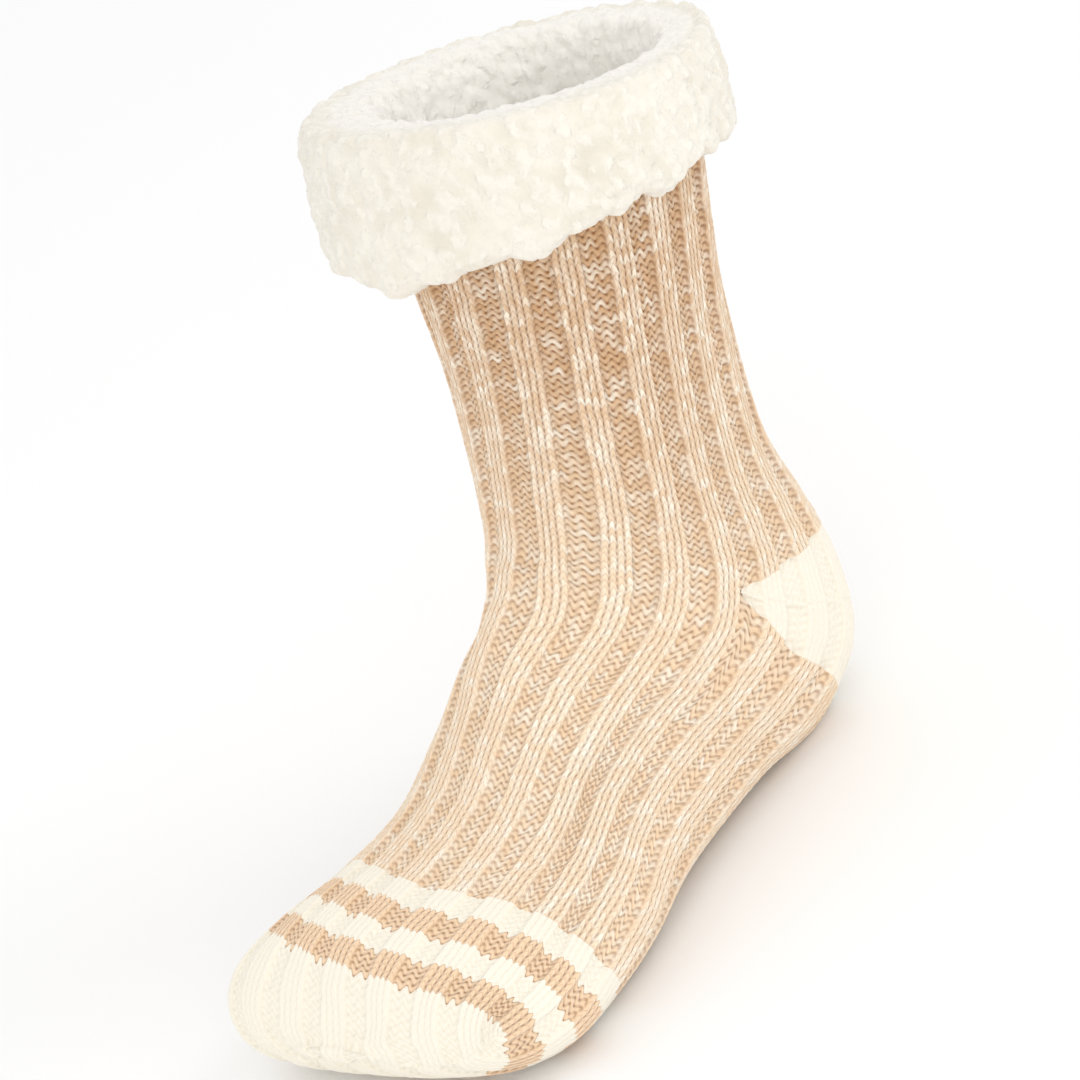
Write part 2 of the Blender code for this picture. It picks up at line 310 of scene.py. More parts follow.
def wale_share(wale, zone):
    """Share of the way round where a wale lies in a zone: its place in its rib, and the drift."""
    rib = np.floor(wale / WALES_IN_RIB)
    in_rib = wale - rib * WALES_IN_RIB
    on_leg, on_foot = (np.interp(in_rib, WALE_PLACES[:, 0], WALE_PLACES[:, k]) for k in (1, 2))
    place = on_leg + (on_foot - on_leg) * soft_step((zone - RIBS_SPREAD) / 0.5)
    base = (rib + RIB_START + place) / RIB_COUNT
    ribs = (DRIFT_RIBS + RIB_START) / RIB_COUNT
    near = zone.ravel()[:, None] + np.linspace(-DRIFT_BLUR, DRIFT_BLUR, 7)
    by_zone = np.stack([np.interp(near, DRIFT[:, 0], DRIFT[:, k]).mean(axis=1)
                        for k in DRIFT_COLUMNS])
    turned = np.mod(base - ribs[0], 1.0) + ribs[0]
    step = np.clip(np.searchsorted(ribs, turned) - 1, 0, len(ribs) - 2)
    inside = turned <= ribs[-1]
    mix = np.clip((turned - ribs[step]) / (ribs[step + 1] - ribs[step]), 0.0, 1.0)
    row = np.broadcast_to(np.arange(by_zone.shape[1]).reshape(zone.shape), np.broadcast(base, zone).shape)
    low, high = by_zone[step, row], by_zone[step + 1, row]
    return base + np.where(inside, low + (high - low) * soft_step(mix), by_zone[0, row])


def loose(wale, course, seed):
    """Small uneven shift of each stitch, from -1 to 1, running smoothly into the next stitch's."""
    dice = np.random.default_rng(seed).uniform(-1.0, 1.0, (256, WALES))
    i, j = np.floor(course).astype(int), np.floor(wale).astype(int)
    t, u = soft_step(course - i), soft_step(wale - j)
    corner = [dice[np.mod(i + a, 256), np.mod(j + b, WALES)] for a in (0, 1) for b in (0, 1)]
    return ((corner[0] * (1 - u) + corner[1] * u) * (1 - t) + (corner[2] * (1 - u) + corner[3] * u) * t)


def stitch_height(wale, course):
    """Height of the knit over its ground. A plain wale is two slanting legs either side of a valley,
    swelling once a course; a purl wale is a wavy bar to each course, lower by the rib's depth."""
    half_rib = 0.5 * WALES_IN_RIB
    from_rib = np.abs(np.mod(wale + half_rib - RIB_MIDDLE, WALES_IN_RIB) - half_rib)
    rib = soft_step((PLAIN_TO_PURL[1] - from_rib) / (PLAIN_TO_PURL[1] - PLAIN_TO_PURL[0]))
    side = np.abs(np.mod(wale, 1.0) - 0.5)
    dip = LEG_DIP * np.clip((side - LEG_EDGE) / (0.5 - LEG_EDGE), 0.0, 1.0)
    leg = np.clip(side / LEG_CREST, 0.0, 1.0) ** 0.8 * (1.0 - dip)
    swell = np.abs(np.cos(np.pi * (course + LEG_SLANT * side))) ** 0.8
    plain = leg * (1.0 - LEG_SWELL + LEG_SWELL * swell)
    bar = 0.5 + 0.5 * np.cos(2.0 * np.pi * (course - PURL_WAVE * np.cos(2.0 * np.pi * wale)))
    return rib * PLAIN_RELIEF * (plain - 1.0) + (1.0 - rib) * (PURL_RELIEF * (bar - 1.0) - RIB_DEPTH)


def knit_sheet(name, wale, course, share, arc, relief=1.0):
    """One piece of the knit over a grid of places on the skin, set out from it by the stitch height.
    Relief tells how much of the stitches shows; the rest lies at the depth of a seam. Its UV map
    counts wales and courses, shifted a little stitch by stitch."""
    place, out = on_skin(share, arc)
    here = course + LOOSE_COURSE * loose(wale, course, 3)
    across = wale + LOOSE_WALE * loose(wale, course, 8)
    floor_fade = np.clip(place[..., 2] / FLOOR_FADE, 0.0, 1.0)
    height = stitch_height(across, here) * relief - SEAM_DEPTH * (1.0 - relief)
    place = place + out * (height * floor_fade)[..., None]
    place[..., 2] = np.maximum(place[..., 2], 0.0)
    return grid_mesh(name, place, across, here)


def knit_zone(name, zone, edges, first, courses, rows):
    """Rows of stitches spaced evenly from one edge to the other down each wale. Rows are the first
    and last course wanted of those in the zone."""
    count = int(round((rows[1] - rows[0]) * COURSE_STEPS)) + 1
    course = np.linspace(rows[0], rows[1], count)[:, None]
    wale = np.append(wale_columns(), WALES)[None, :]
    down = zone[0] + (zone[1] - zone[0]) * course / courses
    share = wale_share(wale, down)
    start, end = (edge_at(edge, share) for edge in edges)
    arc = start + (end - start) * course / courses
    wale, course = np.broadcast_arrays(wale, course)
    return knit_sheet(name, wale, first + course, share, arc,
                      np.interp(down, STITCHES_SHOW[:, 0], STITCHES_SHOW[:, 1]))


def grid_mesh(name, points, u_grid, v_grid):
    """Smooth quads between the rows and columns of a grid, with a UV map. Where the last column or
    row falls on the first they are joined."""
    rows, columns = points.shape[:2]
    index = np.arange(rows * columns).reshape(rows, columns)
    if np.allclose(points[:, 0], points[:, -1], atol=1e-6):
        index[:, -1] = index[:, 0]
    if np.allclose(points[0], points[-1], atol=1e-6):
        index[-1] = index[0]
    used, index = np.unique(index, return_inverse=True)
    index = index.reshape(rows, columns)
    corners = ((slice(0, -1), slice(0, -1)), (slice(1, None), slice(0, -1)),
               (slice(1, None), slice(1, None)), (slice(0, -1), slice(1, None)))
    quads = np.stack([index[corner] for corner in corners], axis=-1).reshape(-1, 4)
    uv = np.stack([u_grid, v_grid], axis=-1)
    uv = np.stack([uv[corner] for corner in corners], axis=2)
    mesh = bpy.data.meshes.new(name)
    mesh.vertices.add(len(used))
    mesh.vertices.foreach_set("co", points.reshape(-1, 3)[used].ravel())
    mesh.loops.add(quads.size)
    mesh.loops.foreach_set("vertex_index", quads.ravel())
    mesh.polygons.add(len(quads))
    mesh.polygons.foreach_set("loop_start", np.arange(len(quads)) * 4)
    mesh.update(calc_edges=True)
    mesh.uv_layers.new(name="knit").data.foreach_set("uv", uv.ravel())
    mesh.shade_smooth()
    piece = bpy.data.objects.new(name, mesh)
    bpy.context.collection.objects.link(piece)
    return piece


def link(tree, source, target):
    """Joins an output to an input, or sets the input's value."""
    if isinstance(source, (int, float, tuple)):
        target.default_value = source
    else:
        tree.links.new(source, target)


def math(tree, operation, first, second=0.0, third=0.0):
    """One Math node; each value is a number or an output."""
    node = tree.nodes.new("ShaderNodeMath")
    node.operation = operation
    for value, socket in zip((first, second, third), node.inputs):
        link(tree, value, socket)
    return node.outputs[0]


def blend(tree, factor, first, second):
    """Mix of two colours by a factor."""
    node = tree.nodes.new("ShaderNodeMix")
    node.data_type = "RGBA"
    link(tree, factor, node.inputs["Factor"])
    link(tree, first, node.inputs["A"])
    link(tree, second, node.inputs["B"])
    return node.outputs["Result"]


def span(tree, value, low, high, to_low=0.0, to_high=1.0):
    """Value from low to high carried to a new range, clamped, with soft ends."""
    node = tree.nodes.new("ShaderNodeMapRange")
    node.interpolation_type = "SMOOTHSTEP"
    for number, source in enumerate((value, low, high, to_low, to_high)):
        link(tree, source, node.inputs[number])
    return node.outputs[0]


def clouds(tree, vector, scale, detail=2.0, rough=0.5):
    """Noise texture's value over a vector."""
    node = tree.nodes.new("ShaderNodeTexNoise")
    node.inputs["Scale"].default_value = scale
    node.inputs["Detail"].default_value = detail
    node.inputs["Roughness"].default_value = rough
    link(tree, vector, node.inputs["Vector"])
    return node.outputs["Fac"]


def combine(tree, x, y, z=0.0):
    """Vector from three values."""
    node = tree.nodes.new("ShaderNodeCombineXYZ")
    for value, socket in zip((x, y, z), node.inputs):
        link(tree, value, socket)
    return node.outputs[0]


def effect(name, inputs, outputs):
    """Empty shader node group with named sockets; gives the tree, its inputs and its output node."""
    tree = bpy.data.node_groups.new(name, "ShaderNodeTree")
    for label, kind in inputs:
        tree.interface.new_socket(label, in_out="INPUT", socket_type=kind)
    for label, kind in outputs:
        tree.interface.new_socket(label, in_out="OUTPUT", socket_type=kind)
    return tree, tree.nodes.new("NodeGroupInput").outputs, tree.nodes.new("NodeGroupOutput").inputs


def stitch_form():
    """Node group: the stitch height again from wale and course, with the yarn's row, the rib's mask,
    the depth of the gaps between strands as a mask for painted shade, and the course where a change of
    colour would fall."""
    tree, given, result = effect(
        "stitch form", [("Place", "NodeSocketVector")],
        [("Height", "NodeSocketFloat"), ("Row", "NodeSocketFloat"), ("Wale", "NodeSocketFloat"),
         ("Rib", "NodeSocketFloat"), ("Gap Shade", "NodeSocketFloat"), ("Edge", "NodeSocketFloat")])
    parts = tree.nodes.new("ShaderNodeSeparateXYZ")
    link(tree, given["Place"], parts.inputs[0])
    wale, course = parts.outputs[0], parts.outputs[1]
    circle = 2.0 * np.pi
    half_rib = 0.5 * WALES_IN_RIB
    shifted = math(tree, "FLOORED_MODULO", math(tree, "ADD", wale, half_rib - RIB_MIDDLE), 2.0 * half_rib)
    from_rib = math(tree, "ABSOLUTE", math(tree, "SUBTRACT", shifted, half_rib))
    rib = span(tree, from_rib, *PLAIN_TO_PURL, 1.0, 0.0)
    side = math(tree, "ABSOLUTE", math(tree, "SUBTRACT", math(tree, "FRACT", wale), 0.5))
    leg = math(tree, "MULTIPLY", span(tree, side, 0.02, LEG_CREST),
               span(tree, side, LEG_EDGE, 0.50, 1.0, 1.0 - LEG_DIP))
    run = math(tree, "MULTIPLY_ADD", side, LEG_SLANT, course)
    swell = math(tree, "ABSOLUTE", math(tree, "COSINE", math(tree, "MULTIPLY", run, 0.5 * circle)))
    swell = math(tree, "POWER", swell, 0.8)
    plain = math(tree, "MULTIPLY", leg, math(tree, "MULTIPLY_ADD", swell, LEG_SWELL, 1.0 - LEG_SWELL))
    wave = math(tree, "COSINE", math(tree, "MULTIPLY", wale, circle))
    line = math(tree, "MULTIPLY_ADD", wave, -PURL_WAVE, course)
    bar = math(tree, "MULTIPLY_ADD", math(tree, "COSINE", math(tree, "MULTIPLY", line, circle)), 0.5, 0.5)
    height = math(tree, "ADD", math(tree, "MULTIPLY", rib, plain),
                  math(tree, "MULTIPLY", math(tree, "SUBTRACT", 1.0, rib), bar))
    link(tree, height, result["Height"])
    on_rib = math(tree, "GREATER_THAN", rib, 0.5)
    row = math(tree, "ADD", math(tree, "MULTIPLY", on_rib, math(tree, "ROUND", run)),
               math(tree, "MULTIPLY", math(tree, "SUBTRACT", 1.0, on_rib), math(tree, "ROUND", line)))
    link(tree, row, result["Row"])
    link(tree, wale, result["Wale"])
    on_plain = math(tree, "ADD", side, math(tree, "SUBTRACT", course, 0.25))
    on_purl = math(tree, "SUBTRACT", math(tree, "MULTIPLY_ADD", wave, -0.38, course), 0.50)
    edge = math(tree, "ADD", math(tree, "MULTIPLY", on_rib, on_plain),
                math(tree, "MULTIPLY", math(tree, "SUBTRACT", 1.0, on_rib), on_purl))
    link(tree, edge, result["Edge"])
    link(tree, rib, result["Rib"])
    # Masks for painted shade: the valley and creases of the plain wales and the pits between purl bars.
    dash = math(tree, "COSINE", math(tree, "MULTIPLY", course, circle))
    valley = math(tree, "MULTIPLY", span(tree, side, 0.02, 0.15, 1.0, 0.0),
                  math(tree, "MULTIPLY_ADD", dash, -0.35, 0.65))
    crease = math(tree, "MULTIPLY", span(tree, swell, 0.0, 0.55, 0.45, 0.0), leg)
    plain_gap_shade = math(tree, "MAXIMUM", valley, crease)
    twice = math(tree, "COSINE", math(tree, "MULTIPLY", wale, 2.0 * circle))
    pit = math(tree, "MULTIPLY_ADD", twice, 0.36, 0.64)
    purl_gap_shade = math(tree, "MULTIPLY", span(tree, bar, 0.02, 0.55, 1.0, 0.0), pit)
    gap = math(tree, "ADD", math(tree, "MULTIPLY", rib, plain_gap_shade),
               math(tree, "MULTIPLY", math(tree, "SUBTRACT", 1.0, rib), purl_gap_shade))
    link(tree, gap, result["Gap Shade"])
    return tree


def flecked_yarn():
    """Node group: cloud of pale flecks, each a stitch or three long on one row, in loose drifts."""
    tree, given, result = effect(
        "flecked yarn", [("Row", "NodeSocketFloat"), ("Wale", "NodeSocketFloat")],
        [("Fleck", "NodeSocketFloat"), ("Shade", "NodeSocketFloat")])
    dash = clouds(tree, combine(tree, math(tree, "MULTIPLY", given["Wale"], 0.62),
                                math(tree, "MULTIPLY", given["Row"], 2.17)), 1.0, 2.5, 0.6)
    drift = clouds(tree, combine(tree, math(tree, "MULTIPLY", given["Wale"], 0.23),
                                 math(tree, "MULTIPLY", given["Row"], 0.17), 4.0), 1.0, 2.0)
    both = math(tree, "ADD", math(tree, "MULTIPLY", dash, 0.84), math(tree, "MULTIPLY", drift, 0.16))
    link(tree, span(tree, both, 0.41, 0.70), result["Fleck"])
    shade = clouds(tree, combine(tree, math(tree, "MULTIPLY", given["Wale"], 0.8),
                                 math(tree, "MULTIPLY", given["Row"], 2.3), 9.0), 1.0, 1.0)
    link(tree, shade, result["Shade"])
    return tree


STITCH_FORM = stitch_form()
FLECKED_YARN = flecked_yarn()
YARN_ROUGH = 0.92
# Painted light and shade on the tan. It is darkest at the leg's top, in the cuff's shadow, and grows paler
# row by row towards the foot, where more light falls. It is also paler on the leg's sides, as the fuzz's
# sheen would make them, than on the leg's front outer face. The two tans are the shaded and the lit ends
# of this painted light, and the yarn's random tone mixes them too.
PAINTED_LIGHT_ROWS = (10.0, 76.0)
PAINTED_LIGHT_ASIDE = (6.0, 20.0)
DARKEST_WALE = 0.10 * WALES
TAN_DARK_AND_SHADED = (0.66, 0.415, 0.225, 1.0)
TAN_PALE_AND_LIT = (0.94, 0.725, 0.50, 1.0)
PALE_FLECK = (0.96, 0.87, 0.73, 1.0)
# Painted shade in the gaps between strands.
GAP_SHADE_BROWN = (0.27, 0.11, 0.035, 1.0)


def use_group(tree, group, **given):
    """One instance of a node group with its inputs joined."""
    node = tree.nodes.new("ShaderNodeGroup")
    node.node_tree = group
    for label, source in given.items():
        link(tree, source, node.inputs[label])
    return node.outputs


def soft_material(name, rough, sheen):
    """Material with a matt, slightly fuzzy surface; gives its tree and shader."""
    material = bpy.data.materials.new(name)
    material.use_nodes = True
    shader = material.node_tree.nodes["Principled BSDF"]
    shader.inputs["Roughness"].default_value = rough
    shader.inputs["Sheen Weight"].default_value = sheen
    shader.inputs["Sheen Roughness"].default_value = 0.6
    shader.inputs["Specular IOR Level"].default_value = 0.25
    return material, material.node_tree, shader


def object_place(tree):
    """Object coordinates."""
    return tree.nodes.new("ShaderNodeTexCoord").outputs["Object"]


def raise_stitches(tree, shader, height, fuzz_size=1400.0):
    """Bump from the stitch height with fine fibres over it."""
    fibre = clouds(tree, object_place(tree), fuzz_size, 3.0, 0.6)
    total = math(tree, "MULTIPLY_ADD", fibre, 0.30, height)
    bump = tree.nodes.new("ShaderNodeBump")
    bump.inputs["Strength"].default_value = 1.0
    bump.inputs["Distance"].default_value = 0.00040
    link(tree, total, bump.inputs["Height"])
    link(tree, bump.outputs[0], shader.inputs["Normal"])


def knit_place(tree):
    """The knit's own UV map of wales and courses."""
    node = tree.nodes.new("ShaderNodeUVMap")
    node.uv_map = "knit"
    return node.outputs[0]


flecked, tree, shader = soft_material("flecked_knit", YARN_ROUGH, 0.24)
form = use_group(tree, STITCH_FORM, Place=knit_place(tree))
yarn = use_group(tree, FLECKED_YARN, Row=form["Row"], Wale=form["Wale"])
# Painted shade at the leg's top, and painted light towards the foot and on the leg's sides, over the
# yarn's random tone.
painted_light_by_row = span(tree, form["Row"], *PAINTED_LIGHT_ROWS)
turned = math(tree, "FLOORED_MODULO", math(tree, "ADD", form["Wale"], 0.5 * WALES - DARKEST_WALE), WALES)
aside = math(tree, "ABSOLUTE", math(tree, "SUBTRACT", turned, 0.5 * WALES))
painted_light_aside = math(tree, "MULTIPLY", span(tree, aside, *PAINTED_LIGHT_ASIDE, 0.0, 0.30),
                   math(tree, "SUBTRACT", 1.0, painted_light_by_row))
tone_and_painted_light = math(tree, "MULTIPLY_ADD", yarn["Shade"], 0.5, math(tree, "SUBTRACT", painted_light_by_row, 0.41))
tone_and_painted_light = math(tree, "ADD", tone_and_painted_light, painted_light_aside)
tan = blend(tree, tone_and_painted_light, TAN_DARK_AND_SHADED, TAN_PALE_AND_LIT)
fleck = math(tree, "MULTIPLY_ADD", form["Rib"], 0.14, math(tree, "MULTIPLY", yarn["Fleck"], 0.90))
strand = blend(tree, fleck, tan, PALE_FLECK)
# Painted shade darkens the gaps between strands, most at the leg's top under the cuff.
painted_gap_shade = math(tree, "MULTIPLY", form["Gap Shade"], math(tree, "MULTIPLY_ADD", painted_light_by_row, -0.30, 1.0))
link(tree, blend(tree, painted_gap_shade, strand, GAP_SHADE_BROWN), shader.inputs["Base Color"])
raise_stitches(tree, shader, form["Height"])


def knitted(piece, material):
    """Puts a knit piece on the sock in its yarn."""
    piece.data.materials.append(material)
    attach(piece, "root")
    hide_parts("knit_upper")
    return piece


HIDDEN_COURSES = 8
LEG_SPLIT = 36
FOOT_SPLIT = 21
leg_zone = ((0.0, 1.0), (rim, leg_end), 0, LEG_COURSES)
foot_zone = ((1.0, 2.0), (foot_start, flecked_end), LEG_COURSES, FOOT_COURSES)
knitted(knit_zone("leg_knit_upper", *leg_zone, (HIDDEN_COURSES, LEG_SPLIT)), flecked)
knitted(knit_zone("leg_knit_lower", *leg_zone, (LEG_SPLIT, LEG_COURSES)), flecked)
knitted(knit_zone("foot_knit_rear", *foot_zone, (0, FOOT_SPLIT)), flecked)
knitted(knit_zone("foot_knit_front", *foot_zone, (FOOT_SPLIT, FOOT_COURSES)), flecked)

# Heel pocket. A wedge of plain cream yarn turned between the leg's last row and the foot's first,
# coming to a point at each side of the ankle. The same ribs run across it, closed up and soft.
CREAM_YARN = (0.875, 0.822, 0.705, 1.0)
# Painted shade in the gaps between the cream strands.
CREAM_GAP_SHADE = (0.74, 0.64, 0.46, 1.0)
HEEL_ROWS = 54
HEEL_LAP = 0.0001
HEEL_SOFTENS = 0.004
TURN_WIDTH = 0.0012

cream, tree, shader = soft_material("cream_knit", YARN_ROUGH, 0.35)
form = use_group(tree, STITCH_FORM, Place=knit_place(tree))
# The gaps are darkened with painted shade.
painted_gap_shade = math(tree, "MULTIPLY", form["Gap Shade"], 0.32)
link(tree, blend(tree, painted_gap_shade, CREAM_YARN, CREAM_GAP_SHADE), shader.inputs["Base Color"])
raise_stitches(tree, shader, math(tree, "MULTIPLY", form["Height"], 0.28))


def heel_half(name, edge, sign):
    """Half of the heel pocket, from one edge to the turn in its middle, in rows at the knit's own
    pitch; sign tells whether they count down from the leg or up from the foot."""
    wale = wale_columns()
    at_heel = wale_share(wale[None, :], np.ones((1, 1)))[0]
    gap = edge_at(foot_start, at_heel) - edge_at(leg_end, at_heel)
    open_wales = np.flatnonzero(gap > 0.0)
    pick = np.arange(open_wales[0] - 1, open_wales[-1] + 2)
    depth = np.linspace(0.0, 1.0, HEEL_ROWS + 1)[:, None] * (0.5 * gap[pick] + HEEL_LAP)[None, :]
    arc = edge_at(edge, at_heel[pick])[None, :] - sign * HEEL_LAP + sign * depth
    wale, share = (np.broadcast_to(row[pick][None, :], arc.shape) for row in (wale, at_heel))
    order = slice(None, None, sign)
    course = LEG_COURSES + sign * depth / COURSE_PITCH
    turned = depth[-1:] - depth
    relief = (1.0 - 0.5 * soft_step(depth / HEEL_SOFTENS)) * soft_step(turned / TURN_WIDTH)
    return knit_sheet(name, wale[order], course[order], share[order], arc[order], relief[order])


knitted(heel_half("heel_knit_upper", leg_end, 1), cream)
knitted(heel_half("heel_knit_lower", foot_start, -1), cream)

# Striped toe. After the flecked foot come four rows of cream, four of plain tan, four of cream and
# four of tan, and the cap is cream to its closing. All of it is knitted on in the same ribs.
TOE_TAN = (0.88, 0.64, 0.42, 1.0)

striped, tree, shader = soft_material("striped_knit", YARN_ROUGH, 0.35)
form = use_group(tree, STITCH_FORM, Place=knit_place(tree))
yarn = use_group(tree, FLECKED_YARN, Row=form["Row"], Wale=form["Wale"])
into = math(tree, "SUBTRACT", form["Edge"], float(LEG_COURSES + FOOT_COURSES))
turn = math(tree, "FLOORED_MODULO", into, 8.0)
tan_row = math(tree, "MULTIPLY", math(tree, "GREATER_THAN", turn, 4.0),
               math(tree, "LESS_THAN", into, float(STRIPE_COURSES)))
tan_row = math(tree, "MULTIPLY", tan_row, math(tree, "GREATER_THAN", into, 0.0))
colour = blend(tree, tan_row, CREAM_YARN, TOE_TAN)
# Painted shade in the gaps between strands: brown in the tan rows, beige in the cream ones.
gap_shade_colour = blend(tree, tan_row, CREAM_GAP_SHADE, GAP_SHADE_BROWN)
depth = math(tree, "MULTIPLY_ADD", tan_row, 0.65, 0.35)
painted_gap_shade = math(tree, "MULTIPLY", form["Gap Shade"], math(tree, "MULTIPLY_ADD", tan_row, 0.45, 0.38))
link(tree, blend(tree, painted_gap_shade, colour, gap_shade_colour), shader.inputs["Base Color"])
raise_stitches(tree, shader, math(tree, "MULTIPLY", form["Height"], depth))

stripe_start = LEG_COURSES + FOOT_COURSES
stripe_zone = ((2.0, 3.0), (flecked_end, cap_start), stripe_start, STRIPE_COURSES)
knitted(knit_zone("toe_stripes", *stripe_zone, (0, STRIPE_COURSES)), striped)

# Toe cap. Cream, and shaped as a pocket: its upper half runs on from the last stripe over the toes
# and its lower half from the sole, and they meet in a linked seam across the front of the toe.
CAP_ROWS = 96
CAP_CORNER = 0.004
SEAM_SHIFT = 0.22
SEAM_RELIEF = 0.001


def cap_half(name, sign):
    """Half of the toe cap. The cap is charted as a disc, its edge at the last stripe and its middle at
    the toe's end; each wale is a line across the disc from the edge to the seam, and the wales spread
    evenly along the seam."""
    wale = wale_columns() - (RIB_COUNT // 2 * WALES_IN_RIB if sign > 0 else 0)
    turn = 2.0 * np.pi * (wale_share(wale[None, :], np.full((1, 1), 3.0))[0] - (0.0 if sign > 0 else 0.5))
    edge = 0.5 * np.pi
    inner = np.abs(turn) < edge - CAP_CORNER
    angle = np.concatenate([[-edge], turn[inner], [edge]])[None, :]
    wale = np.interp(angle[0], turn, wale)
    t = np.linspace(1.0, 0.0, CAP_ROWS + 1)[:, None]
    high = np.cos(angle) * (t - sign * SEAM_SHIFT * (1.0 - t))
    wide = np.sin(angle) * t ** 2 + angle / edge * (1.0 - t ** 2)
    radius = np.hypot(high, wide)
    share = np.arctan2(wide, high) / (2.0 * np.pi) + (0.0 if sign > 0 else 0.5)
    ring, end = edge_at(cap_start, share), edge_at(whole, share)
    arc = ring + (end - ring) * (1.0 - np.clip(radius, 0.0, 1.0))
    place, _ = on_skin(share, arc)
    run = np.linalg.norm(np.diff(place, axis=0, prepend=place[:1]), axis=-1).cumsum(axis=0)
    course = stripe_start + STRIPE_COURSES + run / COURSE_PITCH
    wale = np.broadcast_to(wale[None, :], arc.shape)
    relief = STITCHES_SHOW[-1, 1] * soft_step((run[-1:] - run) / TURN_WIDTH + SEAM_RELIEF)
    return knit_sheet(name, wale, course, share, arc, relief)


knitted(cap_half("toe_cap_upper", 1), striped)
knitted(cap_half("toe_cap_lower", -1), striped)

# Pile cuff. Thick curly cream pile on a knitted back, sewn inside the rim, folded over it and turned
# down outside, deeper at the front. Its curls clump, and it rolls to a soft ragged lower edge.
CUFF_DROP_FRONT = 0.0385
CUFF_DROP_BACK = 0.0300
CUFF_SIDE_LIFT = 0.0072
CUFF_PILE_FRONT = 0.0236
CUFF_PILE_BACK = 0.0110
CUFF_INNER_PILE = 0.0035
CUFF_INNER_DROP = 0.036
CUFF_TOP = 0.0066
CLUMP_SIZE = 0.0062
CURL_SIZE = 0.0026
CLUMP_HEIGHT = 0.0022
CURL_HEIGHT = 0.0011
CURL_WANDER = 0.0020
CUFF_AROUND = 540
CUFF_RADIUS = 0.060
PROFILE = 140

RIM_SEAM_GAP = 0.0005
INNER_FACE = -(KNIT_WALL + RIM_SEAM_GAP)
LINING_FACE = INNER_FACE - CUFF_INNER_PILE
# Profile round the pile: offset in metres plus a share of the outer pile, drop in metres plus a
# share of the outer drop, and how much of the curls shows
CUFF = np.array([
    # offset   pile  drop                        share curl
    [0.5 * (INNER_FACE + LINING_FACE), 0.00, CUFF_INNER_DROP, 0.00, 0.3],
    [LINING_FACE, 0.00, CUFF_INNER_DROP - 0.003, 0.00, 0.7],
    [LINING_FACE - 0.0006, 0.00, CUFF_INNER_DROP - 0.016, 0.00, 0.8],
    [LINING_FACE - 0.0004, 0.00, 0.004, 0.00, 0.8],
    [LINING_FACE + 0.0018, 0.00, -0.004, 0.00, 0.8],
    [-0.0010, 0.05, -0.92 * CUFF_TOP, 0.00, 0.8],
    [0.0012, 0.36, -CUFF_TOP, 0.00, 0.9],
    [0.0012, 0.70, -0.95 * CUFF_TOP, 0.00, 1.0],
    [0.0012, 0.82, 0.0000, 0.01, 1.0],
    [0.0012, 0.84, 0.0000, 0.20, 1.0],
    [0.0012, 0.85, 0.0000, 0.40, 1.0],
    [0.0012, 0.85, 0.0000, 0.60, 1.0],
    [0.0012, 0.86, 0.0000, 0.78, 1.0],
    [0.0008, 0.83, 0.0000, 0.92, 1.0],
    [0.0004, 0.62, 0.0000, 1.00, 1.0],
    [0.0004, 0.20, 0.0000, 1.00, 0.8],
    [0.0005, 0.00, 0.0000, 0.93, 0.0],
    [0.0005, 0.00, 0.0000, 0.50, 0.0],
    [0.0005, 0.00, -0.0003, 0.00, 0.0],
    [INNER_FACE, 0.00, -0.0003, 0.00, 0.0],
    [INNER_FACE, 0.00, CUFF_INNER_DROP - 0.002, 0.00, 0.0],
])

# Waves in the cuff's lower edge: height in metres, how many go round, and where they start
RAGGED_EDGE = np.array([
    # height  waves  start
    [0.0011, 9.0, 1.0],
    [0.0009, 16.0, 2.2],
    [0.0007, 27.0, 0.4],
])


def curl_field(down, around, reach, size, seed):
    """Domes of wool packed at random: the plane is cut in cells, each with one jittered dome of its
    own height, and the highest dome counts. Around wraps at reach."""
    count = max(int(round(reach / size)), 1)
    cell = reach / count
    dice = np.random.default_rng(seed)
    rows = int(down.max() / cell) + 4
    jitter = dice.random((rows, count, 3))
    i, j = np.floor(down / cell).astype(int) + 1, np.floor(around / cell).astype(int)
    best = np.zeros_like(down)
    for di in (-1, 0, 1):
        for dj in (-1, 0, 1):
            ci, cj = np.clip(i + di, 0, rows - 1), j + dj
            own = jitter[ci, np.mod(cj, count)]
            gap_down = down / cell - (i - 1 + di + own[..., 0])
            gap_round = around / cell - (cj + own[..., 1])
            dome = 1.0 - (gap_down ** 2 + gap_round ** 2) / 0.95
            best = np.maximum(best, dome * (0.6 + 0.4 * own[..., 2]))
    return best


# The cuff's profile is carried round the leg. Each point lies on the skin at its drop below the rim,
# set out by its offset; above the rim it rises along the leg's axis instead. The curls then push the
# pile out along its own normal.
cuff_shares = np.arange(CUFF_AROUND) / CUFF_AROUND
turn = 2.0 * np.pi * cuff_shares
facing = 0.5 + 0.5 * np.cos(turn)
ragged = sum(height * np.sin(waves * turn + start) for height, waves, start in RAGGED_EDGE)
drop = (CUFF_DROP_BACK + (CUFF_DROP_FRONT - CUFF_DROP_BACK) * facing
        - CUFF_SIDE_LIFT * np.abs(np.sin(turn)) + ragged)
pile = CUFF_PILE_BACK + (CUFF_PILE_FRONT - CUFF_PILE_BACK) * facing ** 1.5
ring = through_rows(np.vstack([CUFF, CUFF[:1]]), np.linspace(0.0, len(CUFF), PROFILE, endpoint=False))
offset = ring[:, 0:1] + ring[:, 1:2] * pile[None, :]
level = ring[:, 2:3] + ring[:, 3:4] * drop[None, :]
strength = np.clip(ring[:, 4:5], 0.0, 1.0)
place, out = on_skin(np.broadcast_to(cuff_shares, level.shape), np.maximum(level, 0.0))
axis = np.array([-np.sin(LEG_LEAN), 0.0, np.cos(LEG_LEAN)])
body = place + out * offset[..., None] - axis * np.minimum(level, 0.0)[..., None]
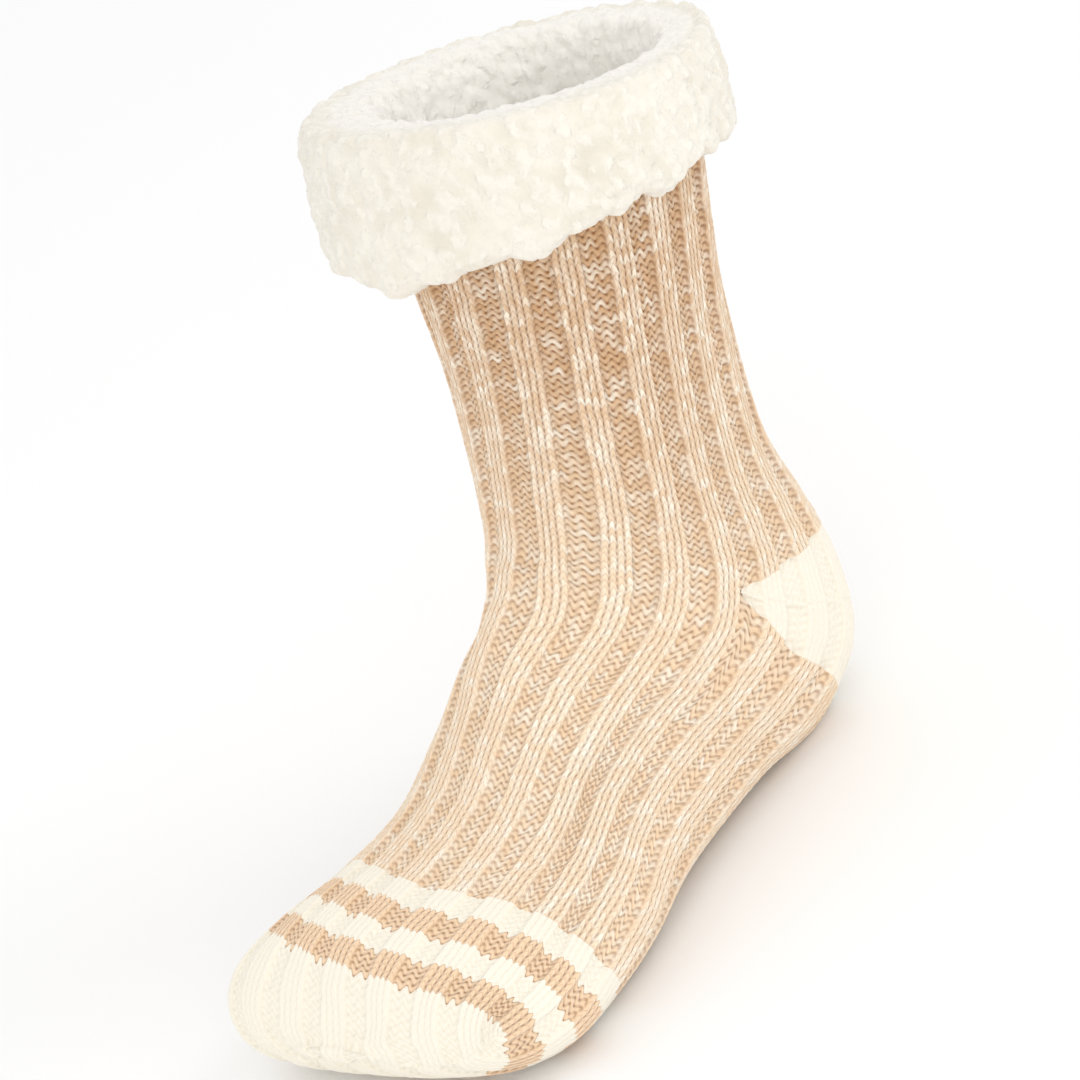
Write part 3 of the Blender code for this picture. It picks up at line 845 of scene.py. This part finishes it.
along = np.roll(body, -1, axis=0) - np.roll(body, 1, axis=0)
around = np.roll(body, -1, axis=1) - np.roll(body, 1, axis=1)
proud = np.cross(along, around)
proud /= np.maximum(np.linalg.norm(proud, axis=-1, keepdims=True), 1e-12)
path = np.cumsum(np.linalg.norm(np.diff(body, axis=0, prepend=body[:1]), axis=-1), axis=0)
round_way = np.broadcast_to(turn * CUFF_RADIUS, path.shape)
reach = 2.0 * np.pi * CUFF_RADIUS
drift = CURL_WANDER * np.sin(round_way * 260.0) * np.sin(path * 300.0)
clump = curl_field(path + drift, round_way, reach, CLUMP_SIZE, 11)
curl = curl_field(path, round_way + drift * 0.4, reach, CURL_SIZE, 23)
fluff = CLUMP_HEIGHT * (clump - 0.6) + CURL_HEIGHT * (curl - 0.5)
body = body + proud * (strength * fluff)[..., None]


def pile_mesh(name, points, closed_profile):
    """Mesh over a grid that closes round the leg, and over its profile too when that is closed."""
    if closed_profile:
        points = np.vstack([points, points[:1]])
    points = np.hstack([points, points[:, :1]])
    v, u = np.meshgrid(*(np.linspace(0.0, 1.0, n) for n in points.shape[:2]), indexing="ij")
    return grid_mesh(name, points, u, v)


def pile_wool():
    """Node group: depth of the hollows between curls, as a mask for painted shade, and the fine wool over
    them.
    """
    tree, given, result = effect("pile wool", [("Place", "NodeSocketVector")],
                                 [("Hollow Shade", "NodeSocketFloat"), ("Wool", "NodeSocketFloat")])
    warp = clouds(tree, given["Place"], 230.0, 3.0, 0.6)
    drift = clouds(tree, given["Place"], 60.0, 2.0)
    parts = tree.nodes.new("ShaderNodeSeparateXYZ")
    link(tree, given["Place"], parts.inputs[0])
    swirl = math(tree, "MULTIPLY_ADD", warp, 0.0050, -0.0025)
    turned = combine(tree, math(tree, "ADD", parts.outputs[0], swirl),
                     math(tree, "SUBTRACT", parts.outputs[1], swirl),
                     math(tree, "MULTIPLY_ADD", parts.outputs[2], 0.8, swirl))
    node = tree.nodes.new("ShaderNodeTexVoronoi")
    node.feature = "SMOOTH_F1"
    node.inputs["Scale"].default_value = 270.0
    node.inputs["Smoothness"].default_value = 0.7
    link(tree, turned, node.inputs["Vector"])
    fine = clouds(tree, given["Place"], 1300.0, 4.0, 0.65)
    curl = span(tree, node.outputs["Distance"], 0.15, 0.75, 1.0, 0.0)
    wool = math(tree, "ADD", math(tree, "MULTIPLY", curl, 0.75),
                math(tree, "ADD", math(tree, "MULTIPLY", fine, 0.22), math(tree, "MULTIPLY", warp, 0.5)))
    link(tree, wool, result["Wool"])
    between = math(tree, "SUBTRACT", 1.0, curl)
    link(tree, math(tree, "MULTIPLY", between, span(tree, drift, 0.32, 0.62, 0.35, 1.0)), result["Hollow Shade"])
    return tree


PILE_WOOL = pile_wool()
PILE_LIGHT = (0.83, 0.79, 0.70, 1.0)
# Painted shade in the hollows between curls.
PILE_HOLLOW_SHADE = (0.66, 0.60, 0.48, 1.0)
# Painted light deep inside the collar, brighter than the pile outside to offset the shadow there, and
# painted shade on the roll of the fold.
PILE_INSIDE_LIT = (0.98, 0.955, 0.90, 1.0)
PILE_FOLD_SHADED = (0.84, 0.81, 0.745, 1.0)
INSIDE_TO_FOLD = (0.12, 0.22)
FOLD_TO_OUTSIDE = (0.265, 0.305)

curly, tree, shader = soft_material("curly_pile", 0.95, 0.5)
wool = use_group(tree, PILE_WOOL, Place=object_place(tree))
# The pile outside, with painted shade in the hollows between its curls.
outside = blend(tree, math(tree, "MULTIPLY", wool["Hollow Shade"], 0.5), PILE_LIGHT, PILE_HOLLOW_SHADE)
parts = tree.nodes.new("ShaderNodeSeparateXYZ")
link(tree, knit_place(tree), parts.inputs[0])
# Painted light deep inside, then painted shade on the fold's roll, then the outside pile.
inside = blend(tree, span(tree, parts.outputs[1], *INSIDE_TO_FOLD), PILE_INSIDE_LIT, PILE_FOLD_SHADED)
over_fold = span(tree, parts.outputs[1], *FOLD_TO_OUTSIDE)
link(tree, blend(tree, over_fold, inside, outside), shader.inputs["Base Color"])
bump = tree.nodes.new("ShaderNodeBump")
bump.inputs["Strength"].default_value = 0.6
bump.inputs["Distance"].default_value = 0.0011
link(tree, wool["Wool"], bump.inputs["Height"])
link(tree, bump.outputs[0], shader.inputs["Normal"])

cuff = pile_mesh("pile_cuff", body, True)
cuff.data.materials.append(curly)
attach(cuff, "root")
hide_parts("sherpa_cuff")

# Pile lining. The same pile, shorter, lines the inside from the cuff down to the toe. Its curls are
# pressed flatter by the foot, and it shows only through the collar.
LINING_AROUND = 120
LINING_ROWS = 110
LINING_PILE = 0.0030
LINING_START = 0.024
LINING_END_GAP = 0.006
LINING_GIRTH = 0.28
LINING_TUFT = 0.0050
LINING_FLAT = 0.45

# The lining is the skin again, set in by the knit's wall and by its own pile, with tufts on it.
share = np.broadcast_to(np.arange(LINING_AROUND) / LINING_AROUND, (LINING_ROWS, LINING_AROUND))
down = np.linspace(0.0, 1.0, LINING_ROWS)[:, None]
arc = LINING_START + (edge_at(whole, share) - LINING_END_GAP - LINING_START) * down
inside, out = on_skin(share, arc)
tuft = curl_field(arc, share * LINING_GIRTH, LINING_GIRTH, LINING_TUFT, 5)
inside = inside - out * (KNIT_WALL + LINING_PILE * (LINING_FLAT + (1.0 - LINING_FLAT) * tuft))[..., None]
inside[..., 2] = np.maximum(inside[..., 2], KNIT_WALL)
inside = np.vstack([inside, np.broadcast_to(inside[-1].mean(axis=0), (1, LINING_AROUND, 3))])
lining = pile_mesh("pile_lining", inside[:, ::-1], False)
lining.data.materials.append(curly)
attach(lining, "root")

# Floor, light and camera. A pale floor under soft studio light, with the camera at the angle of the
# photograph, rolled so that the sock leans as it does there.
FLOOR_COLOUR = (0.93, 0.93, 0.93, 1.0)
floor_mesh = bpy.data.meshes.new("floor")
floor_mesh.from_pydata([(-6, -6, -0.0002), (6, -6, -0.0002), (6, 6, -0.0002), (-6, 6, -0.0002)], [],
                       [(0, 1, 2, 3)])
floor = bpy.data.objects.new("floor", floor_mesh)
bpy.context.collection.objects.link(floor)
paper = bpy.data.materials.new("floor_paper")
paper.use_nodes = True
paper.node_tree.nodes["Principled BSDF"].inputs["Base Color"].default_value = FLOOR_COLOUR
paper.node_tree.nodes["Principled BSDF"].inputs["Roughness"].default_value = 1.0
paper.node_tree.nodes["Principled BSDF"].inputs["Specular IOR Level"].default_value = 0.0
floor_mesh.materials.append(paper)

world = bpy.data.worlds.new("studio")
bpy.context.scene.world = world
world.use_nodes = True
world.node_tree.nodes["Background"].inputs["Color"].default_value = (1.0, 1.0, 1.0, 1.0)
world.node_tree.nodes["Background"].inputs["Strength"].default_value = 1.0
bpy.context.scene.view_settings.view_transform = "Standard"


def studio_lamp(name, place, aim, size, watts):
    """Square soft light at a place, turned to a point."""
    data = bpy.data.lights.new(name, "AREA")
    data.energy = watts
    data.size = size
    lamp = bpy.data.objects.new(name, data)
    lamp.location = place
    lamp.rotation_mode = "QUATERNION"
    lamp.rotation_quaternion = (Vector(aim) - Vector(place)).to_track_quat("-Z", "Y")
    bpy.context.collection.objects.link(lamp)


studio_lamp("key", (-0.75, 0.85, 1.0), (0.06, 0.0, 0.10), 0.6, 3.0)
studio_lamp("front", (1.0, 0.9, 0.5), (0.06, 0.0, 0.06), 0.8, 3.6)

VIEW_AZIMUTH = np.radians(36.28)
VIEW_ELEVATION = np.radians(24.92)
VIEW_ROLL = np.radians(24.78)
VIEW_DISTANCE = 1.5
VIEW_SCALE = 3330.0
VIEW_CENTRE = np.array([0.0575, 0.0, 0.100])
VIEW_MIDDLE = (529.27, 576.43)
IMAGE_SIDE = 1080.0

# The camera backs off from the view's centre by azimuth and elevation and then rolls. The lens makes
# a metre at the centre VIEW_SCALE pixels of a picture IMAGE_SIDE pixels wide.
back = np.array([np.sin(VIEW_AZIMUTH) * np.cos(VIEW_ELEVATION),
                 np.cos(VIEW_AZIMUTH) * np.cos(VIEW_ELEVATION), np.sin(VIEW_ELEVATION)])
level_right = np.array([-np.cos(VIEW_AZIMUTH), np.sin(VIEW_AZIMUTH), 0.0])
level_up = np.cross(back, level_right)
right = level_right * np.cos(VIEW_ROLL) - level_up * np.sin(VIEW_ROLL)
up = level_right * np.sin(VIEW_ROLL) + level_up * np.cos(VIEW_ROLL)
eye = VIEW_CENTRE + back * VIEW_DISTANCE
lens = bpy.data.cameras.new("camera")
lens.sensor_width = 36.0
lens.lens = VIEW_SCALE * VIEW_DISTANCE / IMAGE_SIDE * lens.sensor_width
lens.shift_x = (0.5 * IMAGE_SIDE - VIEW_MIDDLE[0]) / IMAGE_SIDE
lens.shift_y = (VIEW_MIDDLE[1] - 0.5 * IMAGE_SIDE) / IMAGE_SIDE
camera = bpy.data.objects.new("camera", lens)
camera.matrix_world = Matrix([[right[k], up[k], back[k], eye[k]] for k in range(3)] + [[0, 0, 0, 1]])
bpy.context.collection.objects.link(camera)
bpy.context.scene.camera = camera
